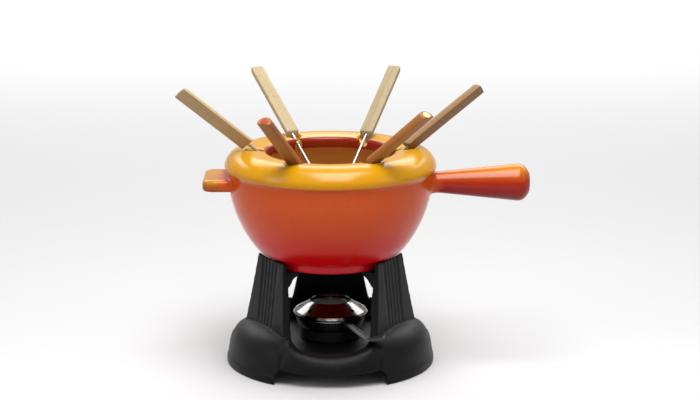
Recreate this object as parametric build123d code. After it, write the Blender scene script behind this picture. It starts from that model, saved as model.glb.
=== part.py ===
from build123d import *
import math
import os

# Fondue set: a cast pot with a cast handle and tab, six forks, a three-legged
# stand and a spirit burner.  Millimetres.  Built about the stand's upright axis
# (x = y = 0, floor at z = 0), then moved by FRAME_SHIFT so that the bounding box
# is centred on the origin in plan.  The pot handle points to +X, the front is -Y.

FRAME_SHIFT = (-24.976, 2.971)

# ---- stand -------------------------------------------------------------------
BASE_R = 110.0          # outer radius of the base ring
FLOOR_Z = 25.0          # top of the flat floor the burner stands on
FLOOR_T = 5.0
CUT_H = 15.0            # height of the three skirt openings
CUT_HALF = 57.5         # half width of a skirt opening
CUT_AZ = (-90.0, 30.0, 150.0)
LEG_AZ = (90.0, 210.0, 330.0)
# one leg above the base: z, outer face distance, outer half width, inner distance, inner half width
LEG = [
    (36.0, 80.6, 43.6, 71.2, 44.6),
    (43.0, 79.9, 42.2, 70.9, 42.6),
    (50.0, 79.1, 40.8, 70.4, 40.6),
    (58.0, 78.3, 39.0, 69.8, 38.9),
    (68.0, 77.2, 36.8, 69.1, 37.1),
    (80.0, 75.9, 34.3, 68.6, 35.2),
    (103.0, 73.4, 30.0, 68.6, 31.0),
    (123.0, 71.3, 26.4, 68.2, 27.4),
]
# where a leg stands the base ring swells: z, half width of the swelling, inner distance, inner half width
SWELL = [(6.0, 60.0, 73.0, 54.0), (20.0, 57.5, 72.4, 51.0), (28.0, 54.5, 71.8, 48.6), (34.0, 51.8, 71.2, 45.8), (40.0, 48.6, 71.0, 43.6),
         (45.0, 45.2, 70.8, 42.2), (50.0, 41.0, 70.4, 40.6)]
SWELL_TOP = [(60.0, 49.0), (76.0, 48.8), (80.0, 47.6), (84.0, 46.4), (88.0, 44.9), (92.5, 42.7), (96.5, 39.8), (100.4, 35.6), (103.6, 30.4),
             (106.0, 24.0), (107.9, 17.0), (109.2, 10.0)]
LEG_WALL = 5.0
# the pocket behind each leg, open to the inside below the apron
LEG_POCKET = [(29.5, 88.0, 71.0, 38.0), (36.0, 86.0, 71.0, 37.0), (46.0, 81.6, 70.6, 35.4), (53.0, 78.6, 70.2, 34.0), (60.0, 77.4, 69.8, 32.4)]
SEAT_Z = 109.0          # where the pot's foot ring rests
SEAT_R = 57.0           # inner radius of the seat ledges
FLUTE_PITCH = 6.8
FLUTE_DEPTH = 1.0
FLUTE_N = 5

# ---- pot ---------------------------------------------------------------------
FOOT_R = 64.0
POT_OUT = [(67.0, 118.7), (70.6, 119.2), (73.8, 120.6), (76.8, 123.0), (81.2, 128.2),
           (87.6, 137.4), (93.6, 148.4), (98.6, 159.6), (102.6, 171.7), (104.6, 180.0),
           (105.8, 188.0), (106.5, 197.0), (106.9, 205.8)]
RIM_OUT = [(110.8, 210.8), (110.4, 214.2), (108.6, 217.9), (104.6, 222.9), (98.0, 226.9),
           (91.0, 228.8), (80.0, 228.4), (72.0, 227.3), (68.4, 226.4)]
LIP_R = 66.2
RIM_IN = [(71.2, 215.2), (77.0, 218.8), (86.0, 221.9), (94.4, 221.4), (100.6, 217.4),
          (103.2, 211.4), (102.6, 204.0), (101.8, 196.4)]
BOWL_IN = [(101.8, 196.4), (101.0, 188.0), (99.8, 180.0), (97.8, 171.9), (93.8, 160.6),
           (88.8, 149.3), (83.0, 138.4), (77.2, 130.4), (71.0, 125.2), (62.0, 123.0)]
POT_FLOOR_Z = 122.6
HANDLE_Z = 192.3
HANDLE_ROOT_R = 11.3
HANDLE_END_R = 19.6
HANDLE_END_X = 208.6
TAB_END_X = -133.0
TAB_HALF = 31.5
TAB_Z0, TAB_Z1 = 188.0, 200.2
SCOOP_R = 8.8
SCOOP_SHAFT_R = 5.0

# ---- forks -------------------------------------------------------------------
# name: azimuth of the rim scoop, heading of the handle, tilt, height of the axis
# over the scoop, roll of the handle's flat side about its axis (0 = flat side up)
FORKS = {
    "fork_1": (181.36, 207.07, 39.18, 222.34, -125.0),
    "fork_2": (119.93, 121.90, 37.55, 222.12, 0.0),
    "fork_3": (241.87, 248.40, 36.61, 224.09, 180.0),
    "fork_4": (59.36, 65.06, 37.73, 226.25, 0.0),
    "fork_5": (301.75, 312.05, 37.44, 223.67, 180.0),
    "fork_6": (0.99, 13.73, 37.16, 223.41, 128.0),
}
SCOOP_AT = 72.0         # radius at which a fork crosses the rim scoop
TIP_CLEAR = 0.9         # the tines' lowest corner over the pot floor
SHAFT_L = 172.0         # handle's lower end to tip
SHAFT_R = 1.5
GRIP_L = 97.0
GRIP_HALF_W = 7.25
GRIP_FLAT = 4.2         # flat side above the axis
GRIP_SIDE = 1.7
GRIP_BACK = 5.8         # crown below the axis
GRIP_SLANT = 0.42       # end faces lean by this much along per mm across
TANG_L = 38.0
PLUG_R = 3.6

# ---- burner ------------------------------------------------------------------
TRAY_R = 33.0
WAIST_R = 38.6
TOP_R = 21.6
BURNER_TOP_Z = 65.0
LEVER_AZ = -66.0
LEVER_KINK_R, LEVER_KINK_Z = 91.95, 45.4
LEVER_END = (54.0, -88.0, 48.6)
LEVER_W = 8.0
VENTS = 8
VENT_R = 2.4


def polar(r, az, z):
    a = math.radians(az)
    return Vector(r * math.cos(a), r * math.sin(a), z)


def revolved(*edges):
    face = make_face(Wire(list(edges)).edges())
    return revolve(face, Axis.Z)


def seg(p, q):
    return Edge.make_line(Vector(p[0], 0, p[1]), Vector(q[0], 0, q[1]))


def curve(points):
    return Edge.make_spline([Vector(r, 0, z) for r, z in points])


def ring(points):
    """Revolved solid from a closed list of (r, z)."""
    n = len(points)
    return revolved(*[seg(points[i], points[(i + 1) % n]) for i in range(n)])


def cyl_between(p, q, r):
    d = q - p
    return Plane(origin=p, z_dir=d) * Cylinder(r, d.length, align=(Align.CENTER, Align.CENTER, Align.MIN))


# ---- fork frames ---------------------------------------------------------------
def fork_frame(name):
    """Origin at the handle's lower end, z out along the fork, y to the flat side."""
    az, head, tilt, zq, roll = FORKS[name]
    q = polar(SCOOP_AT, az, zq)
    h, t = math.radians(head), math.radians(tilt)
    d = Vector(math.cos(h) * math.cos(t), math.sin(h) * math.cos(t), math.sin(t))
    up = (Vector(0, 0, 1) - d * d.Z).normalized()
    side = d.cross(up)
    rr = math.radians(roll)
    n = up * math.cos(rr) + side * math.sin(rr)
    x = n.cross(d)
    tip_z = POT_FLOOR_Z + TIP_CLEAR + 3.6 * abs(x.Z) + 0.9 * abs(n.Z)
    slide = SHAFT_L - (zq - tip_z) / d.Z
    return Plane(origin=q + d * slide, x_dir=x, z_dir=d), q, d


# ---- pot -----------------------------------------------------------------------
def make_pot():
    outer = revolved(
        seg((0, 109.0), (FOOT_R - 0.8, 109.0)), seg((FOOT_R - 0.8, 109.0), (FOOT_R, 109.8)),
        seg((FOOT_R, 109.8), (FOOT_R, 116.2)),
        curve([(FOOT_R, 116.2), (64.9, 118.0), POT_OUT[0]]),
        curve(POT_OUT), seg(POT_OUT[-1], (107.3, 207.0)),
        curve([(107.3, 207.0), (109.7, 208.2), RIM_OUT[0]]),
        curve(RIM_OUT), seg(RIM_OUT[-1], (0, RIM_OUT[-1][1])), seg((0, RIM_OUT[-1][1]), (0, 109.0)))
    # conical handle
    zc = HANDLE_Z
    prof = [Edge.make_line(Vector(60, 0, zc), Vector(60, 0, zc + 13.5)),
            Edge.make_line(Vector(60, 0, zc + 13.5), Vector(103.5, 0, zc + 13.5)),
            Edge.make_spline([Vector(103.5, 0, zc + 13.5), Vector(107.5, 0, zc + 12.0), Vector(113.5, 0, zc + HANDLE_ROOT_R)]),
            Edge.make_line(Vector(113.5, 0, zc + HANDLE_ROOT_R), Vector(195.4, 0, zc + HANDLE_END_R)),
            Edge.make_spline([Vector(195.4, 0, zc + HANDLE_END_R), Vector(202.6, 0, zc + 17.6),
                              Vector(207.0, 0, zc + 12.4), Vector(HANDLE_END_X, 0, zc + 6.4)],
                             tangents=[Vector(1, 0, 0.1), Vector(0, 0, -1)]),
            Edge.make_line(Vector(HANDLE_END_X, 0, zc + 6.4), Vector(HANDLE_END_X, 0, zc)),
            Edge.make_line(Vector(HANDLE_END_X, 0, zc), Vector(60, 0, zc))]
    handle = revolve(make_face(Wire(prof).edges()), Axis((0, 0, zc), (1, 0, 0)))
    # flat tab opposite the handle
    tab = Pos(TAB_END_X + 34, 0, (TAB_Z0 + TAB_Z1) / 2) * Box(68, 2 * TAB_HALF, TAB_Z1 - TAB_Z0)
    tab = fillet(tab.edges().filter_by(Axis.Z).group_by(Axis.X)[0], 10.0)
    top = [e for e in tab.edges() if abs(e.center().Z - TAB_Z1) < 0.01 and e.center().X < -70]
    bot = [e for e in tab.edges() if abs(e.center().Z - TAB_Z0) < 0.01 and e.center().X < -70]
    tab = fillet(top, 4.0)
    bot = [e for e in tab.edges() if abs(e.center().Z - TAB_Z0) < 0.01 and e.center().X < -70]
    tab = fillet(bot, 2.5)
    body = outer + handle + tab
    inner = revolved(
        seg((0, POT_FLOOR_Z), (60.0, POT_FLOOR_Z)),
        curve([(60.0, POT_FLOOR_Z)] + BOWL_IN[::-1]),
        curve(RIM_IN[::-1]), curve([RIM_IN[0], (68.4, 214.9), (66.7, 216.0), (LIP_R, 218.0)]),
        seg((LIP_R, 218.0), (LIP_R, 223.6)),
        curve([(LIP_R, 223.6), (66.8, 225.4), RIM_OUT[-1]]),
        seg(RIM_OUT[-1], (68.4, 240.0)), seg((68.4, 240.0), (0, 240.0)), seg((0, 240.0), (0, POT_FLOOR_Z)))
    body = body - inner
    # recess under the bottom, inside the foot ring
    body = body - ring([(0, 100), (59.6, 100), (59.6, 116.4), (58.0, 118.0), (0, 118.0)])
    for name in FORKS:
        frame, q, d = fork_frame(name)
        low = (q - frame.origin).dot(d) - 24.0
        tool = ring([(0, low), (SCOOP_SHAFT_R, low), (SCOOP_SHAFT_R, -8.6), (SCOOP_R, -4.4), (SCOOP_R, 60.0), (0, 60.0)])
        body = body - Plane(origin=frame.origin, x_dir=Vector(0, 0, 1).cross(d), z_dir=d) * Rot(0, 0, 90) * tool
    return body


# ---- stand ---------------------------------------------------------------------
def section(z, plane_az, pts):
    """Flat face from (distance along the leg's direction, distance across it)."""
    a = math.radians(plane_az)
    u = Vector(math.cos(a), math.sin(a), 0)
    t = Vector(-math.sin(a), math.cos(a), 0)
    return make_face(Wire.make_polygon([Vector(0, 0, z) + u * p + t * q for p, q in pts], close=True).edges())


def fluted(z, R, w, Ri, wi):
    """Outline of a leg at height z: the outer side has shallow flutes that die out at the foot."""
    depth = FLUTE_DEPTH * min(1.0, max(0.03, (z - 43.0) / 12.0))
    pts = [(R, -w)]
    half = FLUTE_PITCH * FLUTE_N / 2
    for i in range(FLUTE_N):
        for k in range(0 if i == 0 else 1, 4):
            s = k / 3
            pts.append((R - depth * 4 * s * (1 - s) * 1.125 * (1 if 0 < k < 3 else 0), -half + FLUTE_PITCH * (i + s)))
    return pts + [(R, w), (Ri, wi), (Ri, -wi)]


def make_stand():
    top = [(74.0, FLOOR_Z), (77.0, FLOOR_Z + 1.1), (80.5, 27.6), (86.0, 28.2), (92.0, 27.7), (98.0, 25.6),
           (103.0, 21.8), (106.8, 16.6), (109.0, 11.0), (110.0, 5.0)]
    low = [(105.0, 4.0), (104.2, 9.0), (102.2, 14.0), (98.4, 18.4), (93.0, 21.4), (86.0, 22.6), (80.0, 21.9),
           (76.0, 20.6), (73.0, FLOOR_Z - FLOOR_T)]
    base = revolved(seg((0, FLOOR_Z), top[0]), curve(top), seg(top[-1], (BASE_R, 0)), seg((BASE_R, 0), (105.0, 0)),
                    seg((105.0, 0), low[0]), curve(low), seg(low[-1], (0, FLOOR_Z - FLOOR_T)),
                    seg((0, FLOOR_Z - FLOOR_T), (0, FLOOR_Z)))
    hollow_under = revolved(seg((0, -1), (105.0, -1)), seg((105.0, -1), low[0]), curve(low),
                            seg(low[-1], (0, FLOOR_Z - FLOOR_T)), seg((0, FLOOR_Z - FLOOR_T), (0, -1)))
    swell_top = revolved(curve(SWELL_TOP), seg(SWELL_TOP[-1], (109.2, 4.0)), seg((109.2, 4.0), (60.0, 4.0)), seg((60.0, 4.0), SWELL_TOP[0]))
    for az in LEG_AZ:
        outer = loft([section(s[0], az, fluted(*s)) for s in LEG], ruled=True)
        spread = loft([section(z, az, [(125.0, -w), (125.0, w), (Ri, wi), (Ri, -wi)]) for z, w, Ri, wi in SWELL], ruled=True)
        outer = outer + (spread & swell_top)
        pocket = loft([section(z, az, [(R - LEG_WALL, hw), (R - LEG_WALL, -hw), (Ri - 8.0, -hw), (Ri - 8.0, hw)])
                       for z, R, Ri, hw in LEG_POCKET], ruled=True)
        rot = Rot(0, 0, az)
        ledge = ring([(SEAT_R, SEAT_Z), (70.5, SEAT_Z), (70.5, 92.0), (68.0, 92.0), (62.5, 101.0), (SEAT_R, 104.6)]) & (
            rot * Pos(64, 0, 100) * Box(40, 50.0, 40))
        leg = outer - pocket + ledge
        base = base + leg
    base = base - hollow_under
    for az in CUT_AZ:
        s = Rectangle(2 * CUT_HALF, 2 * CUT_H)
        s = fillet(s.vertices(), 5.0)
        slot = extrude(Plane(origin=(0, 0, 0), x_dir=(0, 1, 0), z_dir=(1, 0, 0)) * s, 40)
        base = base - Rot(0, 0, az) * Pos(86, 0, 0) * slot
    # room for the pot: its foot ring and the underside of the bowl
    pot_room = ring([(0, SEAT_Z), (64.9, SEAT_Z), (64.9, 117.0), (67.0, 117.6), (72.0, 118.3), (76.0, 119.3),
                     (79.6, 121.9), (83.4, 127.0), (92.5, 148.0), (92.5, 160.0), (0, 160.0)])
    base = base - pot_room
    return base


# ---- forks ---------------------------------------------------------------------
def grip_solid(extra=0.0):
    face = make_face([
        Edge.make_line(Vector(-GRIP_HALF_W, GRIP_SIDE), Vector(-GRIP_HALF_W, GRIP_FLAT - 0.8)),
        Edge.make_line(Vector(-GRIP_HALF_W, GRIP_FLAT - 0.8), Vector(-GRIP_HALF_W + 0.8, GRIP_FLAT)),
        Edge.make_line(Vector(-GRIP_HALF_W + 0.8, GRIP_FLAT), Vector(GRIP_HALF_W - 0.8, GRIP_FLAT)),
        Edge.make_line(Vector(GRIP_HALF_W - 0.8, GRIP_FLAT), Vector(GRIP_HALF_W, GRIP_FLAT - 0.8)),
        Edge.make_line(Vector(GRIP_HALF_W, GRIP_FLAT - 0.8), Vector(GRIP_HALF_W, GRIP_SIDE)),
        Edge.make_spline([Vector(GRIP_HALF_W, GRIP_SIDE), Vector(6.3, -2.0), Vector(3.7, -4.8), Vector(0, -GRIP_BACK),
                          Vector(-3.7, -4.8), Vector(-6.3, -2.0), Vector(-GRIP_HALF_W, GRIP_SIDE)],
                         tangents=[Vector(0, -1), Vector(0, 1)]),
    ])
    bar = Pos(0, 0, -8) * extrude(face, GRIP_L + 16)
    # slanted ends: the flat side reaches further at the outer end
    ang = math.degrees(math.atan(GRIP_SLANT))
    low = Pos(0, 0, 0) * Rot(ang, 0, 0) * Pos(0, 0, -30) * Box(60, 60, 60)
    high = Pos(0, 0, GRIP_L) * Rot(ang, 0, 0) * Pos(0, 0, 30) * Box(60, 60, 60)
    bar = bar - low - high
    return bar


def make_fork():
    grip = grip_solid()
    grip = grip - Pos(0, 0, -10) * Cylinder(SHAFT_R + 0.04, 10 + TANG_L + 0.4, align=(Align.CENTER, Align.CENTER, Align.MIN))
    grip = grip - Pos(0, 0, GRIP_L - 8.0) * Cylinder(PLUG_R + 0.03, 30, align=(Align.CENTER, Align.CENTER, Align.MIN))
    ang = math.degrees(math.atan(GRIP_SLANT))
    plug = Pos(0, 0, GRIP_L - 7.9) * Cylinder(PLUG_R, 20, align=(Align.CENTER, Align.CENTER, Align.MIN))
    plug = plug - Pos(0, 0, GRIP_L + 0.35) * Rot(ang, 0, 0) * Pos(0, 0, 30) * Box(60, 60, 60)
    neck = 24.0
    rod = Pos(0, 0, -(SHAFT_L - neck)) * Cylinder(SHAFT_R, SHAFT_L - neck + TANG_L, align=(Align.CENTER, Align.CENTER, Align.MIN))
    z0 = -(SHAFT_L - neck)
    yoke = Pos(0, 0, z0) * extrude(Plane.XZ.offset(-0.9) * make_face(Polyline(
        (-1.5, 2.0), (-4.2, -3.0), (-4.2, -16.0), (-3.6, -23.6), (-2.9, -23.6), (-2.3, -16.0), (-2.3, -5.0), (-1.2, -3.4),
        (1.2, -3.4), (2.3, -5.0), (2.3, -16.0), (2.9, -23.6), (3.6, -23.6), (4.2, -16.0), (4.2, -3.0), (1.5, 2.0), (-1.5, 2.0))), 1.8)
    shaft = rod + yoke
    return grip, shaft, plug


# ---- burner --------------------------------------------------------------------
def make_burner():
    z0 = FLOOR_Z
    out = {}
    out["burner_tray"] = ring([(0, z0), (31.4, z0), (32.6, z0 + 1.2), (TRAY_R, z0 + 3), (TRAY_R, z0 + 12.0), (TRAY_R - 1.0, z0 + 12.0),
                               (TRAY_R - 1.0, z0 + 3.2), (31.0, z0 + 1.4), (0, z0 + 1.4)])
    out["burner_bowl"] = ring([(0, z0 + 1.6), (29.6, z0 + 1.6), (31.6, z0 + 3.6), (31.6, 36.6), (33.2, 38.2), (35.3, 41.6), (36.6, 45.4),
                               (37.2, 48.6), (36.2, 48.6), (35.6, 45.6), (34.4, 42.2), (32.4, 39.0), (30.6, 37.2), (30.6, z0 + 4.0),
                               (29.2, z0 + 2.6), (0, z0 + 2.6)])
    out["burner_cup"] = ring([(0, z0 + 2.8), (18.6, z0 + 2.8), (19.4, z0 + 3.6), (19.4, 61.0), (18.6, 61.0), (18.6, z0 + 3.8), (0, z0 + 3.8)])
    out["burner_wool"] = ring([(0, z0 + 4.0), (18.3, z0 + 4.0), (18.3, 57.4), (17.0, 58.4), (0, 59.0)])
    gauze = Pos(0, 0, 59.2) * Cylinder(18.3, 0.6, align=(Align.CENTER, Align.CENTER, Align.MIN))
    out["burner_gauze"] = gauze
    out["burner_gauze_ring"] = ring([(17.0, 59.9), (18.4, 59.9), (18.4, 61.0), (17.6, 61.5), (17.0, 61.1)])
    # regulator: conical shutter inside the cone, on a flat ring that turns on the bowl's edge
    shutter = ring([(33.6, 48.9), (37.3, 48.9), (37.3, 49.7), (35.9, 49.7), (35.9, 53.6), (27.0, 58.7), (26.7, 58.2), (35.1, 53.4),
                    (35.1, 49.7), (33.6, 49.7)])
    cone = ring([(37.2, 50.5), (38.4, 50.1), (WAIST_R + 0.7, 50.6), (WAIST_R + 0.8, 52.2), (WAIST_R, 53.4), (37.6, 54.6), (29.0, 60.2),
                 (23.6, 63.5), (22.2, 64.8), (21.0, BURNER_TOP_Z), (20.4, 64.2), (20.7, 63.6), (21.6, 63.3), (23.0, 62.5), (28.4, 59.2), (36.9, 53.9),
                 (37.6, 52.6), (37.2, 51.6)])
    for i in range(VENTS):
        az = LEVER_AZ + 22.5 + 360.0 / VENTS * i
        a = math.radians(az)
        nrm = Vector(math.cos(a) * 0.55, math.sin(a) * 0.55, 0.835)
        c = polar(31.6, az, 58.0)
        hole = cyl_between(c - nrm * 3.2, c + nrm * 4.0, VENT_R)
        cone = cone - hole
        shutter = shutter - hole
    out["burner_cone"] = cone
    out["burner_shutter"] = shutter
    # lever: a strap from the ring out between the front legs, its tip bent sideways
    t = 0.70
    path = [(36.0, 49.72), (36.9, 49.72), (37.7, 48.8), (41.0, 48.6), (LEVER_KINK_R, LEVER_KINK_Z)]
    prof = path + [(r, z + t) for r, z in path[::-1]]
    face = make_face(Wire.make_polygon([Vector(r, 0, z) for r, z in prof], close=True).edges())
    strap = Rot(0, 0, LEVER_AZ) * (extrude(face, LEVER_W / 2, both=True))
    knee = polar(LEVER_KINK_R, LEVER_AZ, LEVER_KINK_Z)
    end = Vector(*LEVER_END)
    along = (end - knee).normalized()
    across = Vector(0, 0, 1).cross(along).normalized()
    tip_frame = Plane(origin=knee, x_dir=along, z_dir=along.cross(across))
    strap = strap + Pos(knee.X, knee.Y, knee.Z) * Cylinder(LEVER_W / 2, t, align=(Align.CENTER, Align.CENTER, Align.MIN))
    tip = Box((end - knee).length, LEVER_W, t, align=(Align.MIN, Align.CENTER, Align.MIN))
    # stiffening beads along both edges of the strap
    rise = (LEVER_KINK_Z - 48.6) / (LEVER_KINK_R - 41.0)
    bead = make_face(Wire.make_polygon([Vector(r, 0, 48.6 + (r - 41.0) * rise + h) for r, h in
                                        ((47.0, t - 0.1), (48.0, t + 0.7), (88.0, t + 0.7), (89.0, t - 0.1))], close=True).edges())
    bead = extrude(bead, 0.45, both=True)
    for side in (-1, 1):
        strap = strap + Rot(0, 0, LEVER_AZ) * Pos(0, side * (LEVER_W / 2 - 0.5), 0) * bead
    out["burner_lever"] = strap + tip_frame * tip
    grip = Pos((end - knee).length - 5.5, 0, t / 2) * Box(14.0, 10.2, 3.6)
    grip = fillet(grip.edges(), 1.1)
    for i in range(3):
        grip = grip - Pos((end - knee).length - 8.6 + 3.1 * i, 0, 1.9 + t / 2) * Box(0.8, 12, 0.9)
    grip = grip - Pos(-1, 0, -0.05) * Box((end - knee).length + 1.05, LEVER_W + 0.1, t + 0.1, align=(Align.MIN, Align.CENTER, Align.MIN))
    out["burner_lever_grip"] = tip_frame * grip
    return out


parts = {"pot": make_pot(), "stand": make_stand()}
grip, shaft, plug = make_fork()
for name in FORKS:
    fr, _, _ = fork_frame(name)
    parts[name + "_handle"] = fr * grip
    parts[name + "_shaft"] = fr * shaft
    parts[name + "_marker"] = fr * plug
parts.update(make_burner())

os.makedirs("parts", exist_ok=True)
lo = [1e9] * 3
hi = [-1e9] * 3
for name, shape in parts.items():
    solids = [s.translate((FRAME_SHIFT[0], FRAME_SHIFT[1], 0), transform=True) for s in shape.solids()]
    shape = solids[0] if len(solids) == 1 else Compound(children=solids)
    bb = shape.bounding_box()
    for i, (p, q) in enumerate(((bb.min.X, bb.max.X), (bb.min.Y, bb.max.Y), (bb.min.Z, bb.max.Z))):
        lo[i] = min(lo[i], p)
        hi[i] = max(hi[i], q)
    print(name, "solids", len(solids), "vol", round(shape.volume, 1), "bb", [round(v, 1) for v in (bb.min.X, bb.min.Y, bb.min.Z, bb.max.X, bb.max.Y, bb.max.Z)])
    export_step(shape, "parts/" + name + ".step")
print("all", [round(v, 3) for v in lo], [round(v, 3) for v in hi])
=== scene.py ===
import bpy, bmesh, math
from mathutils import Vector, Matrix


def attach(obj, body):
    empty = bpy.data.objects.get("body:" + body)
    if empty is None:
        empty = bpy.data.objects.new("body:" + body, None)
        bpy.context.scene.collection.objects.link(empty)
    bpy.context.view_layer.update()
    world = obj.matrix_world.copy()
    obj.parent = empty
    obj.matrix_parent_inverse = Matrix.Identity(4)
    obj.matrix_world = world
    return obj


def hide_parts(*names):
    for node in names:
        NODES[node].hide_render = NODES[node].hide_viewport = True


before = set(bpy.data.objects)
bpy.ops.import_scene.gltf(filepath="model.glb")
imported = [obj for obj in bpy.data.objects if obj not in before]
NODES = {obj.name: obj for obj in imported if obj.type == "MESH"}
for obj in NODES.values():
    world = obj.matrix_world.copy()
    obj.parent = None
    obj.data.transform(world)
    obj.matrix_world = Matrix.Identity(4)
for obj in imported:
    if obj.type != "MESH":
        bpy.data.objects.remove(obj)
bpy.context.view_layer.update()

AX, AY = -0.024976, 0.002971            # the stand's axis in the row frame
sc = bpy.context.scene


# ---------------------------------------------------------------- node helpers
def mat(name):
    m = bpy.data.materials.new(name)
    m.use_nodes = True
    nt = m.node_tree
    bsdf = nt.nodes["Principled BSDF"]
    return m, nt, bsdf


def N(nt, kind, **kw):
    n = nt.nodes.new(kind)
    for k, v in kw.items():
        if hasattr(n, k):
            setattr(n, k, v)
        else:
            n.inputs[k].default_value = v
    return n


def L(nt, a, b):
    nt.links.new(a, b)


def setv(bsdf, **kw):
    for k, v in kw.items():
        bsdf.inputs[k.replace("_", " ")].default_value = v


def math_node(nt, op, a, b=None, clamp=False):
    n = nt.nodes.new("ShaderNodeMath")
    n.operation = op
    n.use_clamp = clamp
    for i, v in enumerate((a, b)):
        if v is None:
            continue
        if isinstance(v, (int, float)):
            n.inputs[i].default_value = v
        else:
            nt.links.new(v, n.inputs[i])
    return n.outputs[0]


def mix_col(nt, f, a, b, mode="MIX"):
    n = nt.nodes.new("ShaderNodeMix")
    n.data_type = "RGBA"
    n.blend_type = mode
    for sock, v in ((n.inputs[0], f), (n.inputs[6], a), (n.inputs[7], b)):
        if isinstance(v, (int, float)):
            sock.default_value = v
        elif isinstance(v, tuple):
            sock.default_value = (*v, 1.0) if len(v) == 3 else v
        else:
            nt.links.new(v, sock)
    return n.outputs[2]


def ramp(nt, fac, stops, interp="LINEAR"):
    n = nt.nodes.new("ShaderNodeValToRGB")
    cr = n.color_ramp
    cr.interpolation = interp
    while len(cr.elements) < len(stops):
        cr.elements.new(0.5)
    for e, (p, c) in zip(cr.elements, stops):
        e.position = p
        e.color = (*c, 1.0) if len(c) == 3 else c
    nt.links.new(fac, n.inputs[0])
    return n.outputs[0]


def noise(nt, vec, scale, detail=3.0, rough=0.5, dist=0.0):
    n = nt.nodes.new("ShaderNodeTexNoise")
    n.inputs["Scale"].default_value = scale
    n.inputs["Detail"].default_value = detail
    n.inputs["Roughness"].default_value = rough
    n.inputs["Distortion"].default_value = dist
    nt.links.new(vec, n.inputs["Vector"])
    return n.outputs[0]


def bump(nt, h, strength, distance, normal=None):
    n = nt.nodes.new("ShaderNodeBump")
    n.inputs["Strength"].default_value = strength
    n.inputs["Distance"].default_value = distance
    nt.links.new(h, n.inputs["Height"])
    if normal is not None:
        nt.links.new(normal, n.inputs["Normal"])
    return n.outputs[0]


def srgb(r, g, b):
    f = lambda c: (c / 255 / 12.92) if c / 255 <= 0.04045 else ((c / 255 + 0.055) / 1.055) ** 2.4
    return (f(r), f(g), f(b))


def smooth(o, angle=35):
    for p in o.data.polygons:
        p.use_smooth = True
    o.data.shade_smooth() if hasattr(o.data, "shade_smooth") else None
    with bpy.context.temp_override(object=o, active_object=o, selected_objects=[o], selected_editable_objects=[o]):
        try:
            bpy.ops.object.shade_smooth_by_angle(angle=math.radians(angle))
        except Exception:
            pass


def paint(o, m):
    o.data.materials.clear()
    o.data.materials.append(m)


# ---------------------------------------------------------------- materials
def curve_of_z(nt, z, z0, z1, pts, scale):
    """value(z) by linear pieces: pts are (z, value)."""
    t = math_node(nt, "DIVIDE", math_node(nt, "SUBTRACT", z, z0), z1 - z0, clamp=True)
    n = nt.nodes.new("ShaderNodeFloatCurve")
    c = n.mapping.curves[0]
    while len(c.points) < len(pts):
        c.points.new(0.5, 0.5)
    for p, (zz, v) in zip(c.points, pts):
        p.location = ((zz - z0) / (z1 - z0), v / scale)
        p.handle_type = "VECTOR"
    n.mapping.update()
    nt.links.new(t, n.inputs["Value"])
    return math_node(nt, "MULTIPLY", n.outputs[0], scale)


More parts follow.
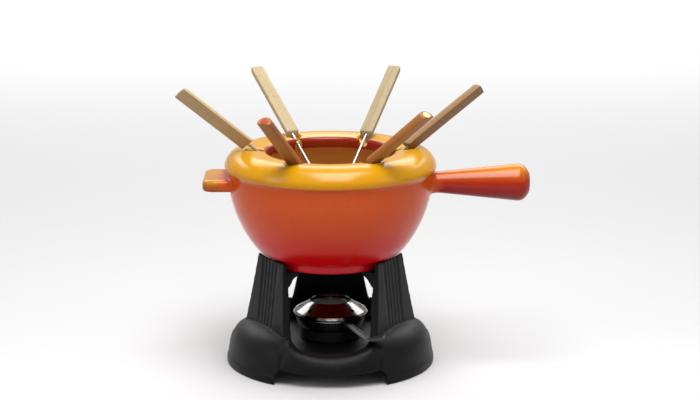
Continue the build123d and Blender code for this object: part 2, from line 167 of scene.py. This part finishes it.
def pot_material():
    m, nt, b = mat("pot_enamel")
    tc = N(nt, "ShaderNodeTexCoord")
    ob = tc.outputs["Object"]
    sep = N(nt, "ShaderNodeSeparateXYZ")
    L(nt, ob, sep.inputs[0])
    x = math_node(nt, "SUBTRACT", sep.outputs[0], AX)
    y = math_node(nt, "SUBTRACT", sep.outputs[1], AY)
    z = sep.outputs[2]
    r = math_node(nt, "SQRT", math_node(nt, "ADD", math_node(nt, "MULTIPLY", x, x), math_node(nt, "MULTIPLY", y, y)))
    # spray-shaded enamel: amber rim, orange body, red foot; the boundary drifts a little
    drift = math_node(nt, "MULTIPLY", math_node(nt, "SUBTRACT", noise(nt, ob, 9.0, 2.0), 0.5), 0.012)
    zz = math_node(nt, "ADD", z, drift)
    t = math_node(nt, "DIVIDE", math_node(nt, "SUBTRACT", zz, 0.108), 0.122, clamp=True)
    body = ramp(nt, t, [(0.0, srgb(250, 16, 40)), (0.09, srgb(244, 8, 22)), (0.17, srgb(238, 10, 8)), (0.28, srgb(242, 40, 0)),
                        (0.42, srgb(246, 78, 0)), (0.62, srgb(248, 92, 0)), (0.8, srgb(246, 94, 0)), (1.0, srgb(244, 98, 0))])
    # the bead round the rim is amber
    zr = math_node(nt, "DIVIDE", math_node(nt, "SUBTRACT", z, 0.2076), 0.0022, clamp=True)
    zr2 = math_node(nt, "DIVIDE", math_node(nt, "SUBTRACT", zz, 0.2085), 0.016, clamp=True)
    amber = ramp(nt, zr2, [(0.0, srgb(248, 164, 0)), (0.35, srgb(246, 168, 0)), (0.75, srgb(240, 172, 2)), (1.0, srgb(236, 170, 10))])
    body = mix_col(nt, zr, body, amber)
    # the handle: orange enamel with a painted highlight, amber on top, and painted shade, red underneath
    th = math_node(nt, "DIVIDE", math_node(nt, "SUBTRACT", zz, 0.176), 0.036, clamp=True)
    handle_enamel_lit_shaded = ramp(nt, th, [(0.0, srgb(176, 14, 8)), (0.3, srgb(196, 24, 6)), (0.5, srgb(206, 50, 4)), (0.68, srgb(220, 96, 6)),
                         (0.86, srgb(236, 140, 24)), (1.0, srgb(240, 158, 34))])
    # the tab: orange-amber enamel with painted shade on its lower front and a painted highlight on top
    tt = math_node(nt, "DIVIDE", math_node(nt, "SUBTRACT", z, 0.187), 0.014, clamp=True)
    tab_enamel_lit_shaded = ramp(nt, tt, [(0.0, srgb(186, 74, 14)), (0.5, srgb(206, 106, 18)), (0.85, srgb(236, 160, 28)), (1.0, srgb(232, 150, 30))])
    tm = math_node(nt, "DIVIDE", math_node(nt, "SUBTRACT", -0.1085, x), 0.010, clamp=True)
    body = mix_col(nt, tm, body, tab_enamel_lit_shaded)
    hm = math_node(nt, "DIVIDE", math_node(nt, "SUBTRACT", x, 0.1075), 0.012, clamp=True)
    col = mix_col(nt, hm, body, handle_enamel_lit_shaded)
    # inside: satin brown below the lip
    mid = curve_of_z(nt, z, 0.118, 0.232, [(0.118, 0.0), (0.1203, 0.058), (0.1235, 0.0705), (0.130, 0.0792), (0.138, 0.0852), (0.149, 0.0911),
                                           (0.160, 0.0960), (0.172, 0.1000), (0.180, 0.1020), (0.196, 0.1040), (0.203, 0.1046),
                                           (0.2075, 0.1052), (0.210, 0.1068), (0.216, 0.1052), (0.2195, 0.1005), (0.2225, 0.0900),
                                           (0.2245, 0.0600), (0.232, 0.0)], 0.12)
    ins = math_node(nt, "GREATER_THAN", math_node(nt, "SUBTRACT", mid, r), 0.0)
    # painted shade: the lip's inner face is coloured dark red for the shade it sits in, in place of the enamel
    lip_painted_shade = math_node(nt, "MULTIPLY", math_node(nt, "DIVIDE", math_node(nt, "SUBTRACT", 0.0705, r), 0.002, clamp=True),
                    math_node(nt, "GREATER_THAN", z, 0.2146))
    ins = math_node(nt, "MULTIPLY", ins, math_node(nt, "SUBTRACT", 1.0, lip_painted_shade))
    brown = mix_col(nt, noise(nt, ob, 60.0, 4.0), srgb(226, 178, 104), srgb(206, 158, 86))
    # painted shade: dark red on the lip's inner face
    col = mix_col(nt, lip_painted_shade, col, srgb(168, 44, 12))
    mott = math_node(nt, "ADD", math_node(nt, "MULTIPLY", noise(nt, ob, 140.0, 4.0, 0.6), 0.09), 0.47)
    col = mix_col(nt, 1.0, col, mott, "MULTIPLY")
    # unglazed foot ring
    foot = math_node(nt, "LESS_THAN", z, 0.1093)
    col = mix_col(nt, ins, col, brown)
    col = mix_col(nt, foot, col, srgb(46, 40, 38))
    L(nt, col, b.inputs["Base Color"])
    rough = math_node(nt, "ADD", math_node(nt, "MULTIPLY", ins, 0.2), math_node(nt, "ADD", 0.17, math_node(nt, "MULTIPLY", noise(nt, ob, 35.0, 3.0), 0.08)))
    L(nt, rough, b.inputs["Roughness"])
    h1 = noise(nt, ob, 210.0, 2.0, 0.4)
    n1 = bump(nt, h1, 0.10, 0.0006)
    h2 = noise(nt, ob, 38.0, 2.0, 0.4)
    n2 = bump(nt, h2, 0.10, 0.0016, n1)
    L(nt, n2, b.inputs["Normal"])
    setv(b, IOR=1.5, Coat_Weight=0.0, Coat_Roughness=0.06, Specular_IOR_Level=0.28)
    return m


def cast_material(name, col, rough, grain=1.0):
    m, nt, b = mat(name)
    ob = N(nt, "ShaderNodeTexCoord").outputs["Object"]
    v = noise(nt, ob, 45.0, 4.0)
    c = mix_col(nt, v, tuple(k * 0.75 for k in col), tuple(k * 1.35 for k in col))
    L(nt, c, b.inputs["Base Color"])
    L(nt, math_node(nt, "ADD", rough - 0.06, math_node(nt, "MULTIPLY", noise(nt, ob, 120.0, 3.0), 0.14)), b.inputs["Roughness"])
    g = noise(nt, ob, 1500.0, 3.0, 0.62)
    n1 = bump(nt, g, 0.55 * grain, 0.0004)
    n2 = bump(nt, noise(nt, ob, 190.0, 3.0, 0.5), 0.22 * grain, 0.0007, n1)
    L(nt, n2, b.inputs["Normal"])
    setv(b, IOR=1.5, Specular_IOR_Level=0.14)
    return m


def wood_material(name, seed, wood_and_shade_tone):
    m, nt, b = mat(name)
    tc = N(nt, "ShaderNodeTexCoord").outputs["Object"]
    mp = N(nt, "ShaderNodeMapping")
    mp.inputs["Location"].default_value = (seed * 0.113, seed * 0.071, seed * 0.31)
    mp.inputs["Scale"].default_value = (1.0, 1.0, 0.055)
    L(nt, tc, mp.inputs["Vector"])
    v = mp.outputs[0]
    rings = N(nt, "ShaderNodeTexWave", wave_type="BANDS", bands_direction="X")
    rings.inputs["Scale"].default_value = 95.0
    rings.inputs["Distortion"].default_value = 5.0
    rings.inputs["Detail"].default_value = 3.0
    rings.inputs["Detail Scale"].default_value = 1.4
    L(nt, v, rings.inputs["Vector"])
    fibre = noise(nt, v, 900.0, 4.0, 0.65)
    big = noise(nt, v, 70.0, 3.0, 0.5, 0.6)
    t = math_node(nt, "ADD", math_node(nt, "MULTIPLY", rings.outputs["Fac"], 0.22), math_node(nt, "MULTIPLY", big, 0.78))
    # the tone carries the wood's colour with painted shade, lighter or darker per fork
    a, c, d = wood_and_shade_tone
    col = ramp(nt, t, [(0.15, a), (0.5, c), (0.85, d)])
    fl = ramp(nt, fibre, [(0.34, (0.72, 0.62, 0.5)), (0.52, (1, 1, 1)), (1.0, (1, 1, 1))])
    col = mix_col(nt, 0.4, col, fl, "MULTIPLY")
    # small dark pores along the grain
    mp2 = N(nt, "ShaderNodeMapping")
    mp2.inputs["Scale"].default_value = (1.0, 1.0, 0.12)
    L(nt, tc, mp2.inputs["Vector"])
    pores = ramp(nt, noise(nt, mp2.outputs[0], 1500.0, 2.0, 0.5), [(0.0, (0.35, 0.25, 0.16)), (0.33, (0.6, 0.48, 0.36)), (0.4, (1, 1, 1)), (1.0, (1, 1, 1))])
    col = mix_col(nt, 0.55, col, pores, "MULTIPLY")
    L(nt, col, b.inputs["Base Color"])
    L(nt, math_node(nt, "ADD", 0.42, math_node(nt, "MULTIPLY", fibre, 0.16)), b.inputs["Roughness"])
    L(nt, bump(nt, fibre, 0.35, 0.00018), b.inputs["Normal"])
    setv(b, IOR=1.45, Specular_IOR_Level=0.4)
    return m


def metal_material(name, col, rough, brushed=None, bumpy=0.0, aniso=0.0):
    m, nt, b = mat(name)
    ob = N(nt, "ShaderNodeTexCoord").outputs["Object"]
    setv(b, Metallic=1.0, IOR=1.5)
    v = noise(nt, ob, 40.0, 4.0)
    c = mix_col(nt, v, tuple(k * 0.92 for k in col), tuple(min(1.0, k * 1.05) for k in col))
    L(nt, c, b.inputs["Base Color"])
    sm = noise(nt, ob, 90.0, 4.0, 0.6)
    L(nt, math_node(nt, "ADD", rough, math_node(nt, "MULTIPLY", sm, 0.10)), b.inputs["Roughness"])
    h = noise(nt, ob, 160.0, 2.0, 0.5)
    L(nt, bump(nt, h, 0.05 + bumpy, 0.0003), b.inputs["Normal"])
    return m


def plain_material(name, col, rough, coat=0.0, grain=300.0, gs=0.15):
    m, nt, b = mat(name)
    ob = N(nt, "ShaderNodeTexCoord").outputs["Object"]
    c = mix_col(nt, noise(nt, ob, 120.0, 3.0), tuple(k * 0.85 for k in col), tuple(min(1.0, k * 1.15) for k in col))
    L(nt, c, b.inputs["Base Color"])
    L(nt, math_node(nt, "ADD", rough, math_node(nt, "MULTIPLY", noise(nt, ob, 200.0, 3.0), 0.1)), b.inputs["Roughness"])
    L(nt, bump(nt, noise(nt, ob, grain, 3.0), gs, 0.0003), b.inputs["Normal"])
    setv(b, Coat_Weight=coat, Coat_Roughness=0.08, IOR=1.5)
    return m


def gauze_material():
    m, nt, b = mat("gauze")
    ob = N(nt, "ShaderNodeTexCoord").outputs["Object"]
    sep = N(nt, "ShaderNodeSeparateXYZ")
    L(nt, ob, sep.inputs[0])
    k = math.pi / 0.0009
    wx = math_node(nt, "ABSOLUTE", math_node(nt, "SINE", math_node(nt, "MULTIPLY", sep.outputs[0], k)))
    wy = math_node(nt, "ABSOLUTE", math_node(nt, "SINE", math_node(nt, "MULTIPLY", sep.outputs[1], k)))
    h = math_node(nt, "MAXIMUM", wx, wy)
    # painted shade: the gaps of the weave are near-black, the wires mid grey
    hole_shade = ramp(nt, h, [(0.0, (0.012, 0.012, 0.012)), (0.72, (0.02, 0.02, 0.02)), (0.86, (0.10, 0.105, 0.10)), (1.0, (0.16, 0.165, 0.16))])
    L(nt, hole_shade, b.inputs["Base Color"])
    L(nt, bump(nt, h, 0.7, 0.0004), b.inputs["Normal"])
    setv(b, Metallic=0.6, Roughness=0.42)
    return m


M_POT = pot_material()
M_STAND = cast_material("stand_black", (0.0030, 0.0028, 0.0027), 0.37)
M_CHROME = metal_material("chrome", (0.20, 0.195, 0.19), 0.09)
M_STEEL = metal_material("fork_steel", (0.46, 0.455, 0.45), 0.16)
M_CUP = metal_material("cup_steel", (0.42, 0.42, 0.41), 0.26, bumpy=0.1)
M_LEVER = metal_material("lever_steel", (0.13, 0.13, 0.13), 0.24)
M_TRAY = cast_material("tray_black", (0.012, 0.012, 0.012), 0.26, 0.25)
M_GRIP = plain_material("grip_black", (0.014, 0.014, 0.014), 0.34)
M_WOOL = plain_material("wool", (0.62, 0.60, 0.54), 0.8, grain=900.0, gs=0.8)
M_GAUZE = gauze_material()
# one wood in lit and shaded copies: the pale tones are the wood as lit on the rear forks, the tan, warm and darkest
# tones are painted shade on the side and front forks
WOOD_LIT = (srgb(176, 162, 130), srgb(168, 150, 116), srgb(154, 134, 96))
WOOD_HALF_SHADE = (srgb(176, 154, 118), srgb(166, 140, 100), srgb(150, 120, 80))
WOOD_DEEP_SHADE = (srgb(140, 110, 74), srgb(128, 96, 60), srgb(112, 80, 46))
WOOD_SHADED = (srgb(158, 104, 44), srgb(144, 88, 34), srgb(124, 70, 24))
WOOD_LIT_B = (srgb(160, 146, 116), srgb(150, 134, 102), srgb(138, 120, 86))
FORK_WOOD_LIGHT = {1: WOOD_HALF_SHADE, 2: WOOD_LIT, 3: WOOD_SHADED, 4: WOOD_LIT_B, 5: WOOD_SHADED, 6: WOOD_DEEP_SHADE}
MARK = {1: (58, 40, 58), 2: (30, 60, 120), 3: (150, 44, 34), 4: (38, 96, 52), 5: (222, 206, 140), 6: (22, 20, 20)}


# ---------------------------------------------------------------- cast pieces
def cast_look(o, m, voxel, iters, angle=40):
    paint(o, m)
    r = o.modifiers.new("cast", "REMESH")
    r.mode = "VOXEL"
    r.voxel_size = voxel
    r.use_smooth_shade = True
    s = o.modifiers.new("soft", "SMOOTH")
    s.factor = 0.5
    s.iterations = iters


cast_look(NODES["pot"], M_POT, 0.0013, 5)
cast_look(NODES["stand"], M_STAND, 0.0011, 4)


def blend_base(node):
    """The stand as one casting: the swellings at the legs run softly into the base ring."""
    import numpy as np
    dg = bpy.context.evaluated_depsgraph_get()
    me = bpy.data.meshes.new_from_object(node.evaluated_get(dg))
    for mod in list(node.modifiers):
        node.modifiers.remove(mod)
    n = len(me.vertices)
    co = np.empty(n * 3)
    me.vertices.foreach_get("co", co)
    co = co.reshape(n, 3)
    ed = np.empty(len(me.edges) * 2, dtype=np.int64)
    me.edges.foreach_get("vertices", ed)
    ed = ed.reshape(-1, 2)
    x, y, z = co[:, 0] - AX, co[:, 1] - AY, co[:, 2]
    r0 = np.hypot(x, y)
    step = lambda v, a, b: np.clip((v - a) / (b - a), 0, 1) ** 2 * (3 - 2 * np.clip((v - a) / (b - a), 0, 1))
    across = np.full(n, 9.0)
    for az in (90, 210, 330):
        c, s = math.cos(math.radians(az)), math.sin(math.radians(az))
        u, t = x * c + y * s, np.abs(-x * s + y * c)
        across = np.where(u > 0.03, np.minimum(across, t), across)
    # between the swellings the ring rises toward them
    front = np.full(n, 60.0)
    for az in (90, 210, 330):
        front = np.minimum(front, np.abs((np.degrees(np.arctan2(y, x)) - az + 180) % 360 - 180))
    cap = np.interp(r0, [0.060, 0.076, 0.080, 0.084, 0.088, 0.0925, 0.0965, 0.1004, 0.1036, 0.106, 0.1079, 0.1092],
                    [0.0490, 0.0488, 0.0476, 0.0464, 0.0449, 0.0427, 0.0398, 0.0356, 0.0304, 0.024, 0.017, 0.010])
    gain = 1.40 + 0.74 * (1 - step(front, 30.0, 55.0))
    # the way out for the burner stays low
    way = 0.0314 + 0.0040 * np.minimum(np.abs(x) / 0.033, 1.2) ** 2 + 0.020 * step(np.abs(x), 0.0345, 0.052) + 0.02 * (y > 0)
    zs = np.maximum(z, np.minimum(0.013 + (z - 0.013) * gain, np.minimum(cap, way)))
    inside = step(across, 0.0415, 0.0440) * step(r0, 0.0770, 0.0850) * (z < 0.052) * (z > 0.013)
    under = r0 < 0.1055
    under &= z < np.interp(r0, [0.073, 0.086, 0.093, 0.0984, 0.1022, 0.1055], [0.0215, 0.0240, 0.0228, 0.0200, 0.0158, 0.0100])
    z = z + (zs - z) * inside * ~under
    z = z - 0.0025 * step(z, 0.007, 0.0135) * (1 - step(z, 0.016, 0.024)) * step(r0, 0.090, 0.096)
    co[:, 2] = z
    w = step(across, 0.0455, 0.050) * (1 - step(across, 0.100, 0.110)) * step(z, 0.014, 0.024) * step(r0, 0.060, 0.070)
    act = w > 0.001
    sel = act[ed[:, 0]] | act[ed[:, 1]]
    e = ed[sel]
    ids = np.unique(np.concatenate([e.ravel(), np.nonzero(act)[0]]))
    loc = np.full(n, -1)
    loc[ids] = np.arange(len(ids))
    a, b = loc[e[:, 0]], loc[e[:, 1]]
    p, ww = co[ids].copy(), w[ids][:, None] * 0.6
    m = len(ids)
    deg = np.maximum(np.bincount(a, minlength=m) + np.bincount(b, minlength=m), 1)[:, None]
    for _ in range(90):
        avg = np.stack([np.bincount(a, p[b, k], minlength=m) + np.bincount(b, p[a, k], minlength=m) for k in range(3)], 1) / deg
        p += ww * (avg - p)
    q = p.copy()
    rr = np.hypot(p[:, 0] - AX, p[:, 1] - AY)
    keep = step(r0[ids], 0.094, 0.102)
    k = (1 - keep) + keep * r0[ids] / np.maximum(rr, 1e-6)
    q[:, 0] = AX + (p[:, 0] - AX) * k
    q[:, 1] = AY + (p[:, 1] - AY) * k
    co[ids] = q
    me.vertices.foreach_set("co", co.ravel())
    me.update()
    o = bpy.data.objects.new("stand_look", me)
    sc.collection.objects.link(o)
    o.matrix_world = node.matrix_world.copy()
    for pl in me.polygons:
        pl.use_smooth = True
    paint(o, M_STAND)
    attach(o, "stand")
    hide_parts("stand")
    return o


blend_base(NODES["stand"])


# ---------------------------------------------------------------- forks
FORKS = {1: (181.36, 207.07, 39.18, 222.34, -125.0), 2: (119.93, 121.90, 37.55, 222.12, 0.0),
         3: (241.87, 248.40, 36.61, 224.09, 180.0), 4: (59.36, 65.06, 37.73, 226.25, 0.0),
         5: (301.75, 312.05, 37.44, 223.67, 180.0), 6: (0.99, 13.73, 37.16, 223.41, 128.0)}
GRIP_L, SHAFT_L, FLOOR_Z = 97.0, 172.0, 122.6
SLANT = 0.42


def fork_matrix(i):
    az, head, tilt, zq, roll = FORKS[i]
    a = math.radians(az)
    q = Vector((72 * math.cos(a), 72 * math.sin(a), zq))
    h, t = math.radians(head), math.radians(tilt)
    d = Vector((math.cos(h) * math.cos(t), math.sin(h) * math.cos(t), math.sin(t)))
    up = (Vector((0, 0, 1)) - d * d.z).normalized()
    side = d.cross(up)
    rr = math.radians(roll)
    n = up * math.cos(rr) + side * math.sin(rr)
    x = n.cross(d)
    tip_z = FLOOR_Z + 0.9 + 3.6 * abs(x.z) + 0.9 * abs(n.z)
    slide = SHAFT_L - (zq - tip_z) / d.z
    o = (q + d * slide) / 1000 + Vector((AX, AY, 0))
    m = Matrix.Identity(4)
    for c, v in enumerate((x, n, d)):
        for k in range(3):
            m[k][c] = v[k]
    m.translation = o
    return m


def grip_section(k=48):
    """Closed outline of the handle's section: flat side with rounded edges, bowed back."""
    pts = []
    W, F, S, B = 7.2, 4.15, 1.7, 5.75
    r = 1.3
    for i in range(7):
        a = math.pi / 2 * i / 6
        pts.append((W - r + r * math.sin(a), F - r + r * math.cos(a)))
    n = k - 14
    for i in range(n + 1):
        a = math.pi * i / n
        pts.append((W * math.cos(a), S - (B + S) * math.sin(a) ** 0.92))
    for i in range(7):
        a = math.pi / 2 * i / 6
        pts.append((-(W - r + r * math.cos(a)), F - r + r * math.sin(a)))
    out = []
    for p in pts:
        if not out or math.hypot(p[0] - out[-1][0], p[1] - out[-1][1]) > 0.02:
            out.append(p)
    return out


def make_grip(i):
    sec = grip_section()
    me = bpy.data.meshes.new("grip")
    bm = bmesh.new()
    rings = []
    # end faces lean; a small round-over runs round each end
    er = 0.7
    stations = [(0.0, er), (er * 0.3, er * 0.3), (er, 0.0)]
    zs = [(z, s) for z, s in stations]
    n = 26
    zs += [(er + (GRIP_L - 2 * er) * j / n, 0.0) for j in range(1, n)]
    zs += [(GRIP_L - z, s) for z, s in reversed(stations)]
    cx, cy = 0.0, -0.5
    for z, s in zs:
        ring = []
        lean = SLANT
        for (x, y) in sec:
            l = math.hypot(x - cx, y - cy)
            k = (l - s) / l
            px, py = cx + (x - cx) * k, cy + (y - cy) * k
            # the same lean goes to every station along the length
            ring.append(bm.verts.new((px / 1000, py / 1000, (z + lean * py) / 1000)))
        rings.append(ring)
    for a, b in zip(rings[:-1], rings[1:]):
        for j in range(len(a)):
            bm.faces.new((a[j], a[(j + 1) % len(a)], b[(j + 1) % len(a)], b[j]))
    for ring, rev in ((rings[0], False), (rings[-1], True)):
        c = bm.verts.new(sum((v.co for v in ring), Vector()) / len(ring))
        for j in range(len(ring)):
            f = (ring[j], ring[(j + 1) % len(ring)], c)
            bm.faces.new(f if rev else f[::-1])
    bmesh.ops.recalc_face_normals(bm, faces=bm.faces)
    bm.to_mesh(me)
    bm.free()
    o = bpy.data.objects.new("fork_%d_grip_look" % i, me)
    sc.collection.objects.link(o)
    smooth(o, 40)
    paint(o, wood_material("grip_wood_%d" % i, i, FORK_WOOD_LIGHT[i]))
    o.matrix_world = fork_matrix(i)
    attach(o, "fork_%d" % i)
    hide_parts("fork_%d_handle" % i)
    return o


for i in FORKS:
    make_grip(i)
    s = NODES["fork_%d_shaft" % i]
    paint(s, M_STEEL)
    smooth(s, 40)
    k = NODES["fork_%d_marker" % i]
    paint(k, plain_material("marker_%d" % i, srgb(*MARK[i]), 0.24, 0.3))
    smooth(k, 40)


# ---------------------------------------------------------------- burner
for name, m, ang in (("burner_tray", M_TRAY, 40), ("burner_bowl", M_CHROME, 40), ("burner_cup", M_CUP, 40), ("burner_wool", M_WOOL, 40),
                     ("burner_gauze", M_GAUZE, 40), ("burner_gauze_ring", M_CUP, 40), ("burner_cone", M_CHROME, 50),
                     ("burner_shutter", M_CUP, 40), ("burner_lever", M_LEVER, 30), ("burner_lever_grip", M_GRIP, 40)):
    o = NODES[name]
    paint(o, m)
    smooth(o, ang)


# ---------------------------------------------------------------- floor, light, camera
def plane(name, w, d, loc, rot=(0, 0, 0)):
    me = bpy.data.meshes.new(name)
    bm = bmesh.new()
    vs = [bm.verts.new((x * w / 2, y * d / 2, 0)) for x, y in ((-1, -1), (1, -1), (1, 1), (-1, 1))]
    bm.faces.new(vs)
    bm.to_mesh(me)
    bm.free()
    o = bpy.data.objects.new(name, me)
    sc.collection.objects.link(o)
    o.location = loc
    o.rotation_euler = rot
    return o


floor = plane("floor", 60, 60, (0, 0, -0.0002))
fm, fnt, fb = mat("floor_white")
setv(fb, Roughness=0.9, Specular_IOR_Level=0.1)
fb.inputs["Base Color"].default_value = (0.50, 0.50, 0.50, 1)
paint(floor, fm)


def area(name, loc, target, sx, sy, power, col=(1, 1, 1)):
    l = bpy.data.lights.new(name, "AREA")
    l.shape = "RECTANGLE"
    l.size, l.size_y = sx, sy
    l.energy = power
    l.color = col
    o = bpy.data.objects.new(name, l)
    sc.collection.objects.link(o)
    o.location = loc
    o.rotation_euler = (Vector(target) - Vector(loc)).to_track_quat("-Z", "Y").to_euler()
    return o


area("key", (0.05, -0.42, 1.25), (0.05, -0.42, 0.0), 0.64, 1.05, 23)
area("left", (-1.5, -0.7, 0.9), (AX, AY, 0.15), 0.5, 1.2, 7)
area("right", (1.5, -0.6, 0.8), (AX, AY, 0.15), 0.2, 1.2, 2.2)
area("sweep", (0.0, 3.9, 2.6), (0.0, 4.3, 0.0), 7.0, 4.2, 360)

w = bpy.data.worlds.new("studio")
sc.world = w
w.use_nodes = True
w.node_tree.nodes["Background"].inputs[0].default_value = (1, 1, 1, 1)
w.node_tree.nodes["Background"].inputs[1].default_value = 0.5
sc.view_settings.view_transform = "Standard"

cam = bpy.data.cameras.new("cam")
cam.sensor_width = 36.0
cam.sensor_fit = "HORIZONTAL"
cam.lens = 2055.084 * 36.0 / 700.0
cam.shift_x = (350.0 - 330.438) / 700.0
co = bpy.data.objects.new("cam", cam)
sc.collection.objects.link(co)
co.location = (AX, AY - 2.1, 0.6713)
co.rotation_euler = (math.pi / 2 - 0.233, 0, 0)
cam.clip_start, cam.clip_end = 0.05, 60
sc.camera = co
